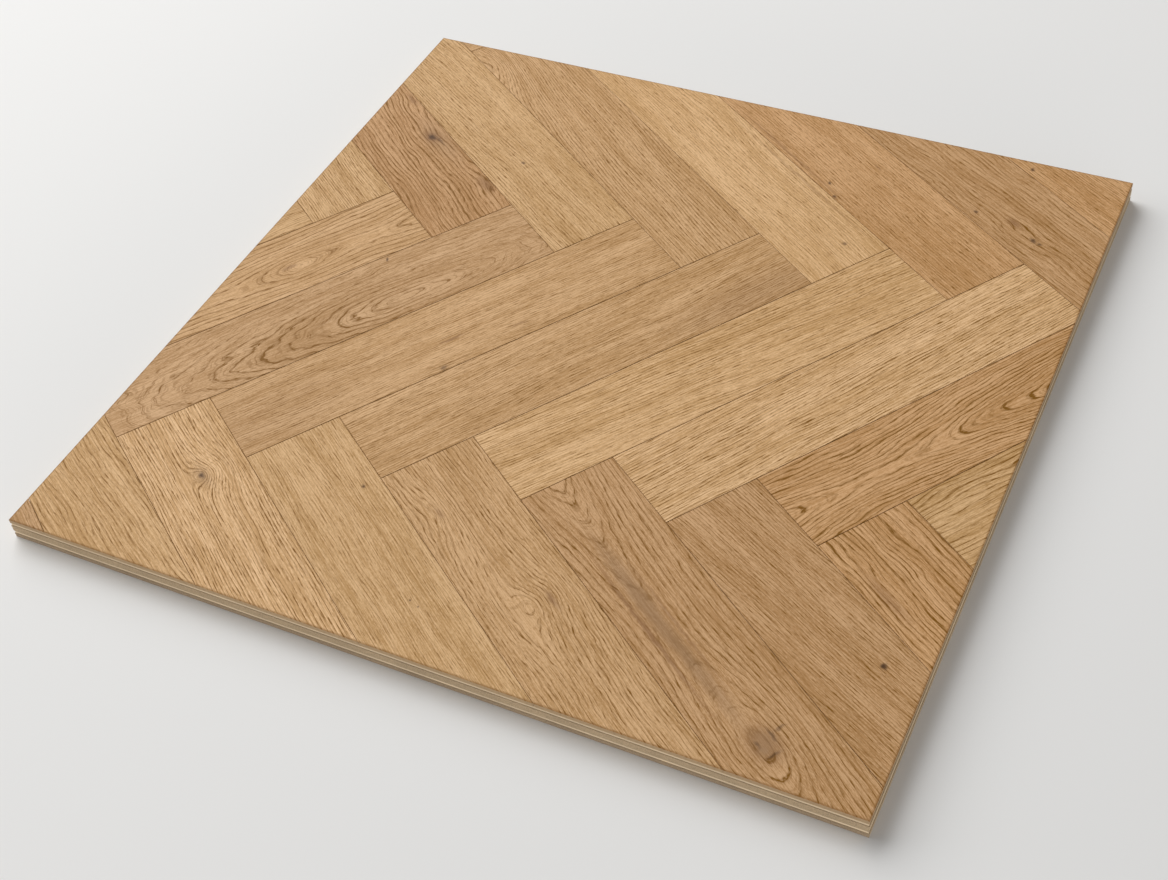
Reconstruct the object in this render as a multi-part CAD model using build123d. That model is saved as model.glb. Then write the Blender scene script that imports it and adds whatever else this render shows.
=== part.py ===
from build123d import *
import os
from math import ceil

# Square panel of oak herringbone parquet. Thin solid-oak staves are glued edge to edge
# on a plywood board, and the whole is sawn square, so the outer staves are cut across.
# Origin at the middle of the underside, X along the front edge, Z up. Millimetres.

# Panel outline: a side takes in eight and two-thirds stave widths
panel_side = 780.0
third_staves_per_side = 26
sawn_arris = 0.5

# Staves, whose width and length follow the side
stave_width = 3 * panel_side / third_staves_per_side
widths_per_length = 5
stave_length = stave_width * widths_per_length
joint_gap = 0.2
stave_bevel = 0.4

# Plies, from the underside up
backing_thickness = 4.5
crossband_thickness = 3.0
core_thickness = 7.0
oak_thickness = 4.5
crossband_setback = 0.5

# Lay of the herringbone: its turn from the front edge, and where the panel's middle lies
# in the pattern, as ratios to the stave width along and across run a from a stave's corner
lay_angle = -35.0
lay_middle_ratio = (3.545, 0.787)

# Heights of the glue lines
lower_crossband_bottom = backing_thickness
core_bottom = lower_crossband_bottom + crossband_thickness
upper_crossband_bottom = core_bottom + core_thickness
oak_bottom = upper_crossband_bottom + crossband_thickness


def sheet(side, bottom, thickness):
    """A square ply of the board, lying at its height."""
    return Pos(0, 0, bottom) * Box(
        side, side, thickness, align=(Align.CENTER, Align.CENTER, Align.MIN)
    )


def bevelled_block(length, width, bevel):
    """An oak block on the top glue line with its upper edges bevelled."""
    block = Pos(0, 0, oak_bottom) * Box(
        length, width, oak_thickness, align=(Align.CENTER, Align.CENTER, Align.MIN)
    )
    upper_edges = block.faces().sort_by(Axis.Z)[-1].edges()
    return chamfer(upper_edges, bevel)


# The board: a backing, two pale crossbands and a core, glued with the grain turned
crossband_side = panel_side - 2 * crossband_setback
board = {
    "backing_ply": sheet(panel_side, 0, backing_thickness),
    "lower_crossband": sheet(crossband_side, lower_crossband_bottom, crossband_thickness),
    "core_ply": sheet(panel_side, core_bottom, core_thickness),
    "upper_crossband": sheet(crossband_side, upper_crossband_bottom, crossband_thickness),
}

# The oak layer: whole staves in the herringbone, each trimmed by the panel's outline
whole_stave = bevelled_block(stave_length - joint_gap, stave_width - joint_gap, stave_bevel)
outline = bevelled_block(panel_side, panel_side, sawn_arris)
pattern_turn = Rot(0, 0, lay_angle)
reach = ceil(panel_side / stave_width) + widths_per_length
bands = ceil(panel_side / stave_length) + 1


def trimmed(along, across, turn):
    """The part of one stave inside the panel; its middle is given in stave widths."""
    middle_along, middle_across = lay_middle_ratio
    place = Pos((along - middle_along) * stave_width, (across - middle_across) * stave_width)
    return (pattern_turn * place * Rot(0, 0, turn) * whole_stave) & outline


# Run a lies along the pattern and run b across it. Bands are counted from the back edge
# and the staves of a band from the left edge, so a stave keeps its name on any panel.
staves = {}
for band in range(-bands, bands + 1):
    shift = band * widths_per_length
    for step in range(-reach, reach + 1):
        lays = {
            f"stave_a{band + 1}_{step + 2}": trimmed(
                step + 1 + shift - widths_per_length / 2, step + 0.5 - shift, 0
            ),
            f"stave_b{band + 1}_{step + 2}": trimmed(
                step + 0.5 + shift, step - shift - widths_per_length / 2, 90
            ),
        }
        for name, piece in lays.items():
            if piece and piece.solids():
                staves[name] = piece.solids()[0]

os.makedirs("parts", exist_ok=True)
for name, shape in (board | staves).items():
    shape.label = name
    export_step(shape, f"parts/{name}.step")
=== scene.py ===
from math import exp, radians
import bpy
from mathutils import Matrix, Vector


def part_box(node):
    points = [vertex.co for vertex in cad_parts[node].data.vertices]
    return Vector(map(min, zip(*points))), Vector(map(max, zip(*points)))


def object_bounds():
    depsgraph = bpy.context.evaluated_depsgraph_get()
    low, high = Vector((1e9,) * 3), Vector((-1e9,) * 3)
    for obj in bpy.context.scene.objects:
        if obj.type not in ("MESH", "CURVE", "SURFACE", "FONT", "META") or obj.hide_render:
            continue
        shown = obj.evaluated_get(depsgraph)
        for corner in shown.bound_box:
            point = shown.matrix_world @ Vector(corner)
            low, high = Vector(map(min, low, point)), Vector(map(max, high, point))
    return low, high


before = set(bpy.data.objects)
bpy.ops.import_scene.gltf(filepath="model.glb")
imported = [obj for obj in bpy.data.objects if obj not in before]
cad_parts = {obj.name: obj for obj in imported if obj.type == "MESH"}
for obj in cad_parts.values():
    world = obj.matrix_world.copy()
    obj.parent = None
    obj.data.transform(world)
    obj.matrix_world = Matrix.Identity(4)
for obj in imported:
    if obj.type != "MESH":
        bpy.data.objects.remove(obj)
cad_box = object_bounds()


# Plywood board. Four rotary-cut plies, glued with the grain turned by a right angle from
# one to the next, then sawn square with the oak on top. A ply shows pale long grain on
# the two edges that run along its fibres, and darker pored end grain on the other two.
def linear(code):
    """An sRGB hex colour as linear RGBA."""
    values = [int(code[i:i + 2], 16) / 255 for i in (1, 3, 5)]
    return [v / 12.92 if v <= 0.04045 else ((v + 0.055) / 1.055) ** 2.4 for v in values] + [1]


def add(tree, kind, inputs, out=0, **settings):
    """Adds a shader node with its settings, fills or links its inputs by socket number or name,
    and hands back one output."""
    node = tree.nodes.new("ShaderNode" + kind)
    for name, value in settings.items():
        setattr(node, name, value)
    for socket, value in inputs.items():
        if isinstance(value, bpy.types.NodeSocket):
            tree.links.new(value, node.inputs[socket])
        else:
            node.inputs[socket].default_value = value
    return node.outputs[out] if len(node.outputs) else node


def dress(node, finish):
    """Gives a piece a new material in place of its plain one, and hands back its empty node tree."""
    material = bpy.data.materials.new(f"{finish}_{node}")
    material.use_nodes = True
    material.node_tree.nodes.clear()
    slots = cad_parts[node].data.materials
    slots.clear()
    slots.append(material)
    return material.node_tree


def mottle(tree, at, size, shift, detail=1.0, rough=0.5):
    """Uneven patches of the given size in mm, with values mostly from 0.3 to 0.7. A shift moves
    them, so that no two pieces match."""
    per_mm = [1 / length for length in size]
    at = add(tree, "VectorMath", {0: at, 1: per_mm, 2: shift}, operation="MULTIPLY_ADD")
    return add(tree, "TexNoise", {"Vector": at, "Scale": 1, "Detail": detail, "Roughness": rough})


metres_per_mm = (0.001, 0.001, 0.001)
no_shift = (0, 0, 0)
glue_brown = "#5d4a35"
glue_strength = 0.45
# How much of a ply's light its darker fibres and its open pores keep
fibre_shade = 0.72
pore_shade = 0.62


def ply(node, long_grain, end_grain, grain_turn, seed):
    """Bare veneer, its fibres along X or turned to run along Y. It is unsealed and fuzzed by
    the saw, so to the eye it is dry, pale and quite without shine."""
    tree = dress(node, "bare_veneer")
    low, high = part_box(node)
    place = add(tree, "TexCoord", {}, out="Object")
    # Millimetres up from the ply's underside, with the fibres along the first axis
    fibre = add(tree, "Mapping", {0: place, 1: (0, 0, low.z), 2: (0, 0, grain_turn), 3: metres_per_mm},
                vector_type="TEXTURE")
    facing = add(tree, "NewGeometry", {}, out="True Normal")
    end = add(tree, "VectorRotate", {"Vector": facing, "Angle": -grain_turn}, rotation_type="Z_AXIS")
    end = add(tree, "SeparateXYZ", {0: end}, out="X")
    end = add(tree, "Math", {0: end}, operation="ABSOLUTE")
    # Fibres 60 mm long and 0.5 mm thick on the long grain, pores 0.6 to 0.9 mm wide on the end grain
    streak = mottle(tree, fibre, (60, 0.5, 0.5), (seed, seed, seed), detail=3, rough=0.6)
    streak = add(tree, "MapRange", {0: streak, 1: 0.32, 2: 0.68})
    pore = mottle(tree, fibre, (8, 0.9, 0.6), (seed, seed, 2 * seed), detail=2, rough=0.55)
    pore = add(tree, "MapRange", {0: pore, 1: 0.42, 2: 0.66}, interpolation_type="SMOOTHSTEP")
    long_dark = [c * fibre_shade for c in linear(long_grain)[:3]] + [1]
    end_dark = [c * pore_shade for c in linear(end_grain)[:3]] + [1]
    long_colour = add(tree, "Mix", {0: streak, 6: linear(long_grain), 7: long_dark}, out=2, data_type="RGBA")
    end_colour = add(tree, "Mix", {0: pore, 6: linear(end_grain), 7: end_dark}, out=2, data_type="RGBA")
    colour = add(tree, "Mix", {0: end, 6: long_colour, 7: end_colour}, out=2, data_type="RGBA")
    # Dark glue lines fade in from 0.45 to 0.05 mm off the top and bottom of the sawn edge
    half_thickness = 1000 * (high.z - low.z) / 2
    height = add(tree, "SeparateXYZ", {0: fibre}, out="Z")
    off_middle = add(tree, "Math", {0: height, 1: half_thickness}, operation="SUBTRACT")
    off_middle = add(tree, "Math", {0: off_middle}, operation="ABSOLUTE")
    glue = add(tree, "MapRange", {0: off_middle, 1: half_thickness - 0.45, 2: half_thickness - 0.05,
                                  4: glue_strength})
    upright = add(tree, "SeparateXYZ", {0: facing}, out="Z")
    upright = add(tree, "Math", {0: upright}, operation="ABSOLUTE")
    sawn = add(tree, "Math", {0: 1.0, 1: upright}, operation="SUBTRACT")
    glue = add(tree, "Math", {0: glue, 1: sawn}, operation="MULTIPLY")
    colour = add(tree, "Mix", {0: glue, 6: colour, 7: linear(glue_brown)}, out=2, data_type="RGBA")
    # Clouds of lighter and darker wood about 50 mm across
    cloud = mottle(tree, fibre, (50, 50, 50), no_shift, detail=2, rough=0.6)
    shade = add(tree, "MapRange", {0: cloud, 1: 0.3, 2: 0.7, 3: 0.9, 4: 1.08})
    colour = add(tree, "VectorMath", {0: colour, "Scale": shade}, operation="SCALE")
    # Saw marks stand across the sheet about 1.4 mm apart
    saw = mottle(tree, fibre, (1.4, 1.4, 30), no_shift, detail=2)
    relief = add(tree, "Math", {0: saw, 1: pore}, operation="SUBTRACT")
    normal = add(tree, "Bump", {"Strength": 0.35, "Distance": 0.0002, "Height": relief})
    shader = add(tree, "BsdfPrincipled", {"Base Color": colour, "Roughness": 0.75, "IOR": 1.45,
                                          "Normal": normal})
    add(tree, "OutputMaterial", {"Surface": shader})


ply("backing_ply", "#bba484", "#9e886d", radians(90), 3.0)
ply("lower_crossband", "#e0c9a8", "#c0a88c", 0, 11.0)
ply("core_ply", "#c3aa88", "#b19979", radians(90), 23.0)
ply("upper_crossband", "#d9c2a1", "#b9a186", 0, 37.0)


# Oak staves. Solid oak, 90 by 450 mm with a fine bevel, brushed and finished with matt oil,
# glued down in a herringbone and sawn off at the panel's outline. Each stave is cut from
# another board, so the rings, pores and knots of each are set out on its own grain.
panel_side = cad_box[1][0] - cad_box[0][0]
widths_per_side = 26 / 3
widths_per_length = 5
stave_width = panel_side / widths_per_side
half_stave_mm = Vector((widths_per_length, 1, 0)) * stave_width * 1000 / 2
# The herringbone's turn on the panel, and the point of it, in stave widths, over the panel's middle
lay_turn = radians(-35)
lay_middle = (3.545, 0.787)
# Pale summer wood and darker fibres of each board
board_tones = {
    "honey": ("#ecc393", "#cca16d"),
    "straw": ("#e7be8d", "#c79c67"),
    "tan": ("#deb685", "#be945f"),
    "amber": ("#dbb283", "#bb905d"),
    "golden": ("#daad7d", "#ba8b57"),
    "russet": ("#d2a87b", "#b28655"),
    "umber": ("#cfa375", "#af814f"),
    "grey": ("#d3ab7f", "#b38959"),
}
knot_tints = {"core": "#4a2f18", "bark": "#7d5430", "grey": "#8c6c4c", "heart": "#a58462"}
ring_brown = "#7e5200"
# Dark brown of the oil in the bevels and of painted shade in the joint grooves, also used for the darker rim
# along the panel's outline
dark_rim_brown = "#6f4408"
sawn_oak = "#9c8568"
joint_oil_and_shade_strength = 0.34
arris_strength = 0.5
sawn_strength = 0.85
# How far a mottle mostly strays to either side of its middle value
usual_stray = 0.2


def lie(run, band, number):
    """Where a stave's middle lies on the panel, counted out in stave widths, and its turn."""
    step = number - 2
    shift = (band - 1) * widths_per_length
    half_length = widths_per_length / 2
    half_width = 0.5
    if run == "a":
        along, across, turn = step + 1 - half_length + shift, step + half_width - shift, lay_turn
    else:
        along, across, turn = step + half_width + shift, step - half_length - shift, lay_turn + radians(90)
    middle = Vector((along - lay_middle[0], across - lay_middle[1], 0)) * stave_width
    return Matrix.Rotation(lay_turn, 3, "Z") @ middle, turn


def spot(tree, at, u, v, reach_u, reach_v, edge):
    """A round spot that fades out towards its reach, and more sharply with a higher edge."""
    blunt_tip = 0.35
    per_reach = (1 / reach_u, 1 / reach_v, 0)
    start = (-u / reach_u, -v / reach_v, blunt_tip)
    near = add(tree, "VectorMath", {0: at, 1: per_reach, 2: start}, operation="MULTIPLY_ADD")
    near = add(tree, "VectorMath", {0: near, 1: near}, out="Value", operation="DOT_PRODUCT")
    near = add(tree, "Math", {0: near, 1: edge}, operation="POWER")
    return add(tree, "Math", {0: exp(-1), 1: near}, operation="POWER")


def heart_distance(tree, grain, shift, slope, spacing, pith, tilt, sways, swirls):
    """How many mm a point of the wood lies from the heart of the tree. The rings sway along the
    stave, and each swirl throws them aside by a number of rings."""
    u, v, z = add(tree, "SeparateXYZ", {0: grain}).node.outputs
    deep = add(tree, "Math", {0: u, 1: tilt, 2: pith[1]}, operation="MULTIPLY_ADD")
    deep = add(tree, "Math", {0: deep, 1: z}, operation="SUBTRACT")
    off = add(tree, "Math", {0: v, 1: pith[0]}, operation="SUBTRACT")
    ring = add(tree, "Math", {0: deep, 1: deep}, operation="MULTIPLY")
    ring = add(tree, "Math", {0: off, 1: off, 2: ring}, operation="MULTIPLY_ADD")
    ring = add(tree, "Math", {0: ring}, operation="SQRT")
    for sway, length_u, length_v in sways:
        lift = mottle(tree, grain, (length_u, length_v, length_v), shift)
        lift = add(tree, "Math", {0: lift, 1: 0.5}, operation="SUBTRACT")
        ring = add(tree, "Math", {0: lift, 1: sway / usual_stray, 2: ring}, operation="MULTIPLY_ADD")
    on_grain = Matrix.Rotation(-radians(slope), 2)
    for at_u, at_v, reach_u, reach_v, rings in swirls:
        at = on_grain @ Vector((at_u, at_v))
        near = spot(tree, grain, at.x, at.y, reach_u, reach_v, edge=0.5)
        ring = add(tree, "Math", {0: near, 1: rings * spacing, 2: ring}, operation="MULTIPLY_ADD")
    return ring


def early_wood(tree, grain, on_ring, shift, spacing):
    """The dark porous band, up to 1.5 mm wide, that opens each ring before the pale summer wood."""
    ring = add(tree, "SeparateXYZ", {0: on_ring}, out="Y")
    # The bands fray along the fibres, in mm, and no two rings are equally wide, in shares of a ring
    fray_depth = 2.4
    unevenness = 0.8
    fray = mottle(tree, grain, (45, 2.2, 2.2), shift)
    frayed = add(tree, "Math", {0: fray, 1: fray_depth, 2: ring}, operation="MULTIPLY_ADD")
    turns = add(tree, "Math", {0: frayed, 1: spacing}, operation="DIVIDE")
    uneven = mottle(tree, on_ring, (160, 2 * spacing, 1000), shift)
    turns = add(tree, "Math", {0: uneven, 1: unevenness, 2: turns}, operation="MULTIPLY_ADD")
    # The band darkens fast, then thins out towards the summer wood
    phase = add(tree, "Math", {0: turns}, operation="FRACT")
    band = add(tree, "ValToRGB", {0: phase})
    ramp = band.node.color_ramp
    thin = min(1, 4 / spacing)
    for at, level in ((0.10 * thin, 1.0), (0.24 * thin, 0.55), (0.44 * thin, 0.1), (1 - 0.14 * thin, 0.0)):
        ramp.elements.new(at).color = (level, level, level, 1)
    for end in (0, -1):
        ramp.elements[end].color = (0.4, 0.4, 0.4, 1)
    return band


def grain_lines(tree, stave, on_ring, early, shift, spacing, bold, pores, plain):
    """How dark the rings and pores are drawn: rings come and go, and fade out in plain wood."""
    strong = mottle(tree, on_ring, (90, 1.7 * spacing, 1000), shift, detail=2)
    strong = add(tree, "MapRange", {0: strong, 1: 0.36, 2: 0.62, 3: 0.45}, interpolation_type="SMOOTHSTEP")
    for u, v, reach_u, reach_v, strength in plain:
        near = spot(tree, stave, u, v, reach_u, reach_v, edge=1)
        near = add(tree, "Math", {0: near, 1: -strength, 2: 1}, operation="MULTIPLY_ADD")
        strong = add(tree, "Math", {0: strong, 1: near}, operation="MULTIPLY")
    # Pores are dashes up to 9 mm long, thickest in the dark bands. In oak they are a third of a
    # millimetre wide, and they are drawn twice as wide, as fine as the picture can show
    hair = mottle(tree, on_ring, (9, 0.7, 0.7), shift)
    dash = add(tree, "MapRange", {0: hair, 1: 0.40, 2: 0.58, 3: 0.65}, interpolation_type="SMOOTHSTEP")
    line = add(tree, "Math", {0: early, 1: strong}, operation="MULTIPLY")
    line = add(tree, "Math", {0: line, 1: dash}, operation="MULTIPLY")
    pore = add(tree, "MapRange", {0: hair, 1: 0.52, 2: 0.66}, interpolation_type="SMOOTHSTEP")
    open_grain = add(tree, "Math", {0: early, 1: 0.55, 2: 0.45}, operation="MULTIPLY_ADD")
    pore = add(tree, "Math", {0: pore, 1: open_grain}, operation="MULTIPLY")
    ring_weight = 1.5 * bold
    pore_weight = 1.15 * pores
    drawn = add(tree, "Math", {0: line, 1: ring_weight}, operation="MULTIPLY")
    return add(tree, "Math", {0: pore, 1: pore_weight, 2: drawn}, operation="MULTIPLY_ADD")


def darkened_edges(tree, colour, place, stave):
    """Oil stands dark in the bevels, with painted shade added in the joint grooves; the top darkens within 2
    mm of the panel's outline, and the saw leaves the sawn edge dull.
    """
    # Oil and painted shade of the joint groove, within 0.7 mm of a stave's own edge
    joint = add(tree, "VectorMath", {0: stave}, operation="ABSOLUTE")
    joint = add(tree, "VectorMath", {0: half_stave_mm, 1: joint}, operation="SUBTRACT")
    joint = add(tree, "SeparateXYZ", {0: joint}).node
    joint = add(tree, "Math", {0: joint.outputs[0], 1: joint.outputs[1]}, operation="MINIMUM")
    joint = add(tree, "MapRange", {0: joint, 1: 0.2, 2: 0.7, 3: joint_oil_and_shade_strength, 4: 0.0})
    # Darker within 2 mm of the panel's outline
    arris = add(tree, "VectorMath", {0: place}, operation="ABSOLUTE")
    arris = add(tree, "VectorMath", {0: cad_box[1], 1: arris}, operation="SUBTRACT")
    arris = add(tree, "SeparateXYZ", {0: arris}).node
    arris = add(tree, "Math", {0: arris.outputs[0], 1: arris.outputs[1]}, operation="MINIMUM")
    arris = add(tree, "MapRange", {0: arris, 1: 0.0005, 2: 0.002, 3: arris_strength, 4: 0.0})
    rim = add(tree, "Math", {0: joint, 1: arris}, operation="MAXIMUM")
    # Upright faces are sawn ones
    facing = add(tree, "NewGeometry", {}, out="True Normal")
    facing = add(tree, "SeparateXYZ", {0: facing}, out="Z")
    sawn = add(tree, "MapRange", {0: facing, 1: 0.3, 2: 0.1})
    top = add(tree, "Math", {0: 1.0, 1: sawn}, operation="SUBTRACT")
    rim = add(tree, "Math", {0: rim, 1: top}, operation="MULTIPLY")
    colour = add(tree, "Mix", {0: rim, 6: colour, 7: linear(dark_rim_brown)}, out=2, data_type="RGBA")
    dull = add(tree, "Math", {0: sawn, 1: sawn_strength}, operation="MULTIPLY")
    return add(tree, "Mix", {0: dull, 6: colour, 7: linear(sawn_oak)}, out=2, data_type="RGBA")


def oak(run, band, number, tone, spacing=3.0, slope=0.0, pith=(260, 40), tilt=0.0, wave=(2.5, 150, 40),
        ripple=(), bold=0.55, pores=0.55, swirls=(), plain=(), marks=()):
    """Oiled oak for one stave, in mm from its middle: u along the stave, v across it.
    pith is the heart's v and its depth, which changes by tilt along u; wave and ripple are
    (sway, length u, length v), swirls (u, v, reach u, reach v, rings), plain (u, v, reach u,
    reach v, strength), and marks the same with the tint of a knot or streak. Matt oil sinks
    in and leaves the brushed pores open, so the eye sees warm wood with only a faint sheen."""
    tree = dress(f"stave_{run}{band}_{number}", "oiled_oak")
    middle, turn = lie(run, band, number)
    # Each stave takes its pattern from another part of the noise
    seed = 7.31 * number + 3.77 * band + (41.9 if run == "b" else 0)
    shift = (seed, 2 * seed, 3 * seed)
    place = add(tree, "TexCoord", {}, out="Object")
    on_top = (middle.x, middle.y, cad_box[1][2])
    stave = add(tree, "Mapping", {0: place, 1: on_top, 2: (0, 0, turn), 3: metres_per_mm},
                vector_type="TEXTURE")
    grain = add(tree, "VectorRotate", {"Vector": stave, "Angle": -radians(slope)}, rotation_type="Z_AXIS")
    sways = [sway for sway in (wave, ripple) if sway]
    ring = heart_distance(tree, grain, shift, slope, spacing, pith, tilt, sways, swirls)
    u, _, z = add(tree, "SeparateXYZ", {0: grain}).node.outputs
    on_ring = add(tree, "CombineXYZ", {0: u, 1: ring, 2: z})
    early = early_wood(tree, grain, on_ring, shift, spacing)
    drawn = grain_lines(tree, stave, on_ring, early, shift, spacing, bold, pores, plain)
    # Fibres 30 mm long, specks where the brush has lifted them, and streaks of tone 16 mm wide
    speck_weight = 0.5
    broad_weight = 0.6
    fibre = mottle(tree, grain, (30, 0.9, 0.9), shift, detail=2, rough=0.6)
    speck = mottle(tree, grain, (2.4, 1.0, 1.0), shift)
    broad = mottle(tree, on_ring, (200, 16, 1000), shift, detail=2)
    mixed = add(tree, "Math", {0: speck, 1: speck_weight, 2: fibre}, operation="MULTIPLY_ADD")
    mixed = add(tree, "Math", {0: broad, 1: broad_weight, 2: mixed}, operation="MULTIPLY_ADD")
    mixed = add(tree, "MapRange", {0: mixed, 1: 0.90, 2: 1.20})
    pale, dark = (linear(code) for code in board_tones[tone])
    colour = add(tree, "Mix", {0: mixed, 6: pale, 7: dark}, out=2, data_type="RGBA")
    colour = add(tree, "Mix", {0: drawn, 6: colour, 7: linear(ring_brown)}, out=2, data_type="RGBA")
    # Knots and streaks, their outlines ragged by up to 4 mm in steps of about 8 mm
    ragged = add(tree, "TexNoise", {"Vector": stave, "Scale": 0.13, "Detail": 2}, out="Color")
    ragged = add(tree, "VectorMath", {0: ragged, 1: (8, 5, 0), 2: (-4, -2.5, 0)}, operation="MULTIPLY_ADD")
    ragged = add(tree, "VectorMath", {0: stave, 1: ragged}, operation="ADD")
    for at_u, at_v, reach_u, reach_v, strength, tint in marks:
        near = spot(tree, ragged, at_u, at_v, reach_u, reach_v, edge=1.5)
        near = add(tree, "Math", {0: near, 1: strength}, operation="MULTIPLY")
        colour = add(tree, "Mix", {0: near, 6: colour, 7: linear(knot_tints[tint])}, out=2, data_type="RGBA")
    # Oil and painted shade in the joints, a darker rim along the outline, and dull sawn edges
    colour = darkened_edges(tree, colour, place, stave)
    # Brushing stands the fibres up and sinks the pores by a quarter of a millimetre
    fibre_height = 0.3
    relief = add(tree, "Math", {0: fibre, 1: fibre_height}, operation="MULTIPLY")
    relief = add(tree, "Math", {0: relief, 1: drawn}, operation="SUBTRACT")
    normal = add(tree, "Bump", {"Strength": 0.25, "Distance": 0.00025, "Height": relief})
    shader = add(tree, "BsdfPrincipled", {"Base Color": colour, "Roughness": 0.62, "IOR": 1.46,
                                          "Specular IOR Level": 0.2, "Normal": normal})
    add(tree, "OutputMaterial", {"Surface": shader})


# Back band of oak staves, glued side by side from the left edge to the back right corner.
# Their back ends are sawn off along the panel's outline, and a small offcut of the next
# band fills a gap at the back edge.
oak("a", 1, 1, "tan", slope=-2, spacing=2.6, bold=0.6)
# A dark knot near the back pushes the rings aside
oak("a", 1, 2, "umber", slope=-3, spacing=4.4, bold=0.92, pith=(80, 10), wave=(3.0, 70, 30),
    ripple=(0.5, 25, 12),
    swirls=((75, 32, 34, 22, -3.0), (0, 48, 30, 14, 2.0), (185, 48, 30, 14, 3.0)),
    marks=((80, 33, 45, 13, 0.3, "grey"), (75, 28, 13, 8, 0.5, "bark"), (75, 28, 5.5, 4, 0.95, "core"),
           (84, 33, 9, 1.5, 0.6, "core"), (0, 40, 12, 3, 0.5, "bark"), (180, 38, 16, 6, 0.5, "bark")))
oak("a", 1, 3, "tan", slope=2, plain=((50, 40, 200, 40, 0.6),), marks=((81, -3, 2.5, 2, 0.8, "core"),))
# A loop of rings runs out at the sawn end
oak("a", 1, 4, "amber", slope=-2, spacing=3.4, bold=0.6, wave=(2.0, 120, 40),
    swirls=((-185, -35, 60, 26, 13.0),))
oak("a", 1, 5, "straw", spacing=2.8, bold=0.4, pores=0.45, swirls=((-70, 45, 45, 22, 6.0),),
    marks=((195, 14, 2.5, 2, 0.7, "core"), (90, 37, 110, 1.5, 0.4, "bark")))
oak("a", 1, 6, "golden", bold=0.45,
    marks=((19, -34, 3, 1.5, 0.9, "core"), (40, -43, 3, 2, 0.8, "core"),
           (26, 20, 5, 1.2, 0.6, "bark"), (-40, -39, 90, 2, 0.4, "bark")))
# Pin knots lie in a long eye of rings
oak("a", 1, 7, "russet", slope=2, spacing=4.6, bold=0.6, pores=0.5, wave=(3, 80, 30),
    ripple=(0.5, 25, 12),
    swirls=((100, -5, 48, 12, 2.4), (100, -27, 48, 12, -2.4)),
    marks=((83, -15, 9, 4, 0.6, "bark"), (113, -17, 4, 2.5, 0.85, "core"),
           (121, -16, 2.5, 2, 0.8, "core"), (48, -34, 2.5, 2, 0.8, "core")))
oak("a", 1, 8, "golden", slope=2, bold=0.45, marks=((-62, -37, 2.5, 2, 0.9, "core"),))
oak("b", 0, 4, "amber")

# Middle band of oak staves, laid square to the back band so that each end butts against the
# side of a stave. It runs from the left edge to the right one, and the saw has cut through
# its outer staves.
oak("b", 1, 1, "tan")
# A small eye of closed rings
oak("b", 1, 2, "amber", spacing=6.0, bold=0.78, pores=0.55, pith=(-9, 9), wave=(2.5, 80, 30),
    ripple=(0.5, 25, 12),
    swirls=((97, -9, 30, 17, -4.5), (320, -12, 90, 60, -7.0)),
    plain=((98, -9, 24, 10, 0.9), (40, -9, 16, 8, 0.8), (170, -9, 22, 9, 0.9)),
    marks=((88, -6, 8, 2.5, 0.5, "bark"),))
# Cut near the heart, with a flame of rings along its front half
oak("b", 1, 3, "grey", spacing=5.2, bold=0.85, pores=0.6, pith=(-21, 17), tilt=-0.22,
    wave=(2.0, 60, 30), ripple=(1.0, 22, 9),
    plain=((60, 45, 260, 30, 0.85), (-160, 24, 75, 22, 0.9), (-212, -26, 62, 44, 0.92),
           (185, -18, 90, 46, 0.95)),
    marks=((83, 39, 1.5, 3, 0.9, "core"),))
oak("b", 1, 4, "amber", spacing=2.6, bold=0.42,
    marks=((-28, -41, 5, 3, 0.6, "core"), (-5, -10, 14, 1.6, 0.6, "bark"),
           (60, -27, 10, 1.5, 0.5, "bark"), (-200, -10, 110, 50, 0.15, "bark")))
oak("b", 1, 5, "amber", slope=1.5, spacing=2.6, bold=0.52, marks=((180, -30, 100, 30, 0.25, "bark"),))
oak("b", 1, 6, "straw", slope=-2, bold=0.5, swirls=((-225, -45, 90, 30, 4.0),))
oak("b", 1, 7, "honey", slope=3, spacing=2.8, bold=0.65)
# Bold rings flow in arches from end to end
oak("b", 1, 8, "golden", spacing=4.6, bold=1.05, pores=0.45, pith=(-7, 7), wave=(2.4, 70, 30),
    ripple=(0.8, 22, 10),
    swirls=((-310, -5, 120, 45, -12.0), (110, -14, 170, 60, -22.0), (-50, -62, 50, 24, 9.0),
            (-160, -36, 45, 26, 4.0), (-135, 18, 55, 24, 3.0)),
    plain=((-185, -7, 24, 8, 0.9), (-141, -9, 34, 8, 0.8), (-67, -8, 18, 7, 0.5)))
oak("b", 1, 9, "tan", spacing=5.4, bold=0.75, wave=(3, 60, 25))

# Front band of oak staves, laid the same way as the back band and butted against the sides
# of the middle one. Their front ends are sawn off along the front and right edges.
oak("a", 2, 1, "grey")
oak("a", 2, 2, "tan", slope=4, spacing=3.6, bold=0.45, pores=0.45, wave=(4, 90, 40))
# A small round knot with rings wrapped about it
oak("a", 2, 3, "honey", spacing=2.8, bold=0.65,
    swirls=((-136, 18, 20, 14, 3.0), (-136, -11, 20, 14, -3.0), (-136, 4, 13, 11, 8.0)),
    marks=((-136, 4, 16, 7, 0.4, "grey"), (-136, 4, 3.5, 3, 0.9, "core")))
oak("a", 2, 4, "tan", spacing=2.4, bold=0.38, pores=0.4,
    marks=((-135, 29, 3, 2, 0.9, "core"), (2, 8, 1.3, 1, 0.9, "core"), (11, 11, 1.3, 1, 0.8, "core")))
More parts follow.
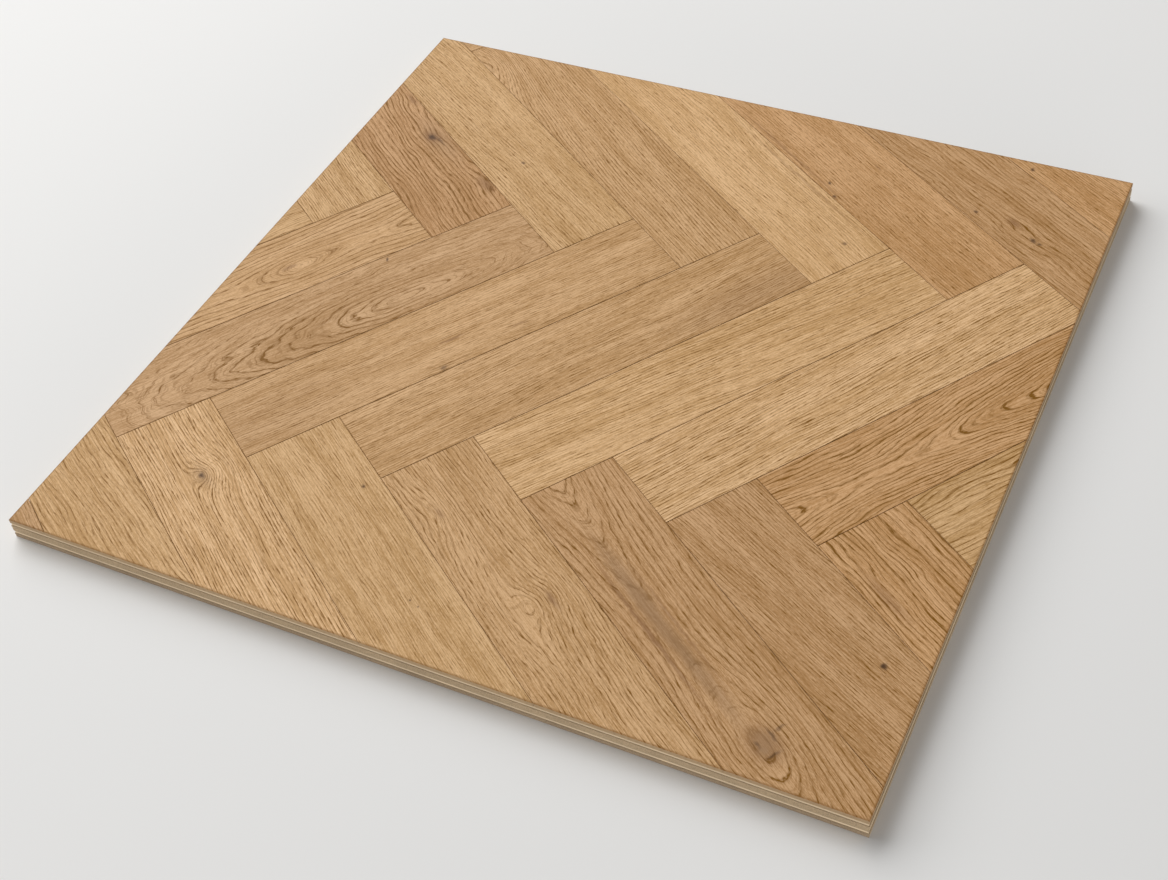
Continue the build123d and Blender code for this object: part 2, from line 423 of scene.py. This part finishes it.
# A wavy eye halfway along
oak("a", 2, 5, "amber", spacing=3.4, bold=0.55, pores=0.45, pith=(-300, 30), wave=(2, 110, 40),
    ripple=(0.6, 20, 10),
    swirls=((-30, 20, 40, 18, -6.0), (-30, -20, 40, 14, 4.5), (-28, -2, 17, 10, -5.0),
            (-165, -24, 24, 10, -4.5)),
    plain=((-28, -4, 10, 5, 0.8),),
    marks=((-25, 16, 12, 3, 0.6, "bark"), (-160, -20, 8, 3, 0.4, "bark")))
# A grey streak runs down to the largest knot, which has a paler heart and fine cracks
oak("a", 2, 6, "russet", spacing=5.0, bold=0.65, pores=0.45, pith=(-11, 16), wave=(1.5, 120, 40),
    ripple=(0.6, 22, 10),
    swirls=((-260, -9, 90, 50, -10.0), (95, -9, 60, 40, -7.0)),
    plain=((-60, -14, 60, 9, 0.9), (40, -10, 32, 13, 0.8)),
    marks=((-70, -14, 80, 8, 0.6, "grey"), (20, -12, 50, 7, 0.4, "grey"), (-45, -26, 85, 2.2, 0.6, "bark"),
           (-40, -3, 70, 1.6, 0.4, "bark"), (92, -7, 19, 14, 0.5, "bark"), (92, -7, 13, 9, 0.42, "heart"),
           (97, -10, 3.5, 3, 0.5, "heart"), (90, -12, 5, 1.5, 0.55, "core"), (88, 2, 8, 1.3, 0.6, "core"),
           (104, -6, 1.6, 7, 0.6, "core"), (86, 11, 1.2, 6, 0.55, "core")))
oak("a", 2, 7, "russet", slope=7, spacing=2.8, bold=0.55, marks=((-7, 19, 2.8, 2.8, 1.0, "core"),))
oak("a", 2, 8, "golden", slope=1, spacing=4.8, bold=0.85, wave=(3.5, 70, 30), ripple=(0.5, 22, 10),
    marks=((-150, -30, 30, 5, 0.4, "bark"),))


# Studio floor. A wide sheet of pale matt card that the panel lies on. It only takes the
# shadow, so it is staged and is no piece of the panel.
floor_side = 16
bpy.ops.object.select_all(action="DESELECT")
bpy.ops.mesh.primitive_plane_add(size=floor_side, location=(0, 0, 0))
floor = bpy.context.object
floor.name = "studio_floor"
card = bpy.data.materials.new("pale_card")
card.use_nodes = True
card_shader = card.node_tree.nodes["Principled BSDF"]
card_shader.inputs["Base Color"].default_value = linear("#eae9e7")
card_shader.inputs["Roughness"].default_value = 0.9
card_shader.inputs["Specular IOR Level"].default_value = 0.2
floor.data.materials.append(card)


# Studio light. A wide soft lamp stands high at the back left, and an even pale room fills the
# shadows. A weak lamp at the left and a long low one at the front right open up the sawn edges.
room = bpy.data.worlds.new("pale_room")
room.use_nodes = True
room.node_tree.nodes["Background"].inputs["Color"].default_value = linear("#f4f5f6")
room.node_tree.nodes["Background"].inputs["Strength"].default_value = 0.29
bpy.context.scene.world = room


def lamp(name, place, width, depth, watts):
    """A soft rectangular lamp that faces the panel's middle from its place, in metres."""
    data = bpy.data.lights.new(name, "AREA")
    data.shape = "RECTANGLE"
    data.size = width
    data.size_y = depth
    data.energy = watts
    made = bpy.data.objects.new(name, data)
    made.location = place
    made.rotation_euler = (-Vector(place)).to_track_quat("-Z", "Y").to_euler()
    bpy.context.scene.collection.objects.link(made)


lamp("soft_lamp", (-5.4, 3.2, 4.8), 7.3, 7.3, 733)
lamp("side_lamp", (-4.0, -1.0, 1.6), 2.0, 2.0, 34)
lamp("low_lamp", (4.9, -5.3, 0.45), 9.0, 0.8, 350)


# Camera. It stands 1.1 m up, in front of the panel and right of its middle, looks down on
# it and is rolled a little. A slight shift of the lens frames the panel as photographed.
photo_width = 1168
off_centre = (-36.1, -5.1)
camera_data = bpy.data.cameras.new("camera")
camera_data.lens = 53.91
camera_data.sensor_width = 36
camera_data.sensor_fit = "HORIZONTAL"
camera_data.shift_x = off_centre[0] / photo_width
camera_data.shift_y = off_centre[1] / photo_width
camera = bpy.data.objects.new("camera", camera_data)
camera.location = (0.5764, -1.0409, 1.1198)
camera.rotation_euler = [radians(angle) for angle in (44.041, 3.855, 24.871)]
bpy.context.scene.collection.objects.link(camera)
bpy.context.scene.camera = camera

bpy.context.scene.view_settings.view_transform = "Standard"
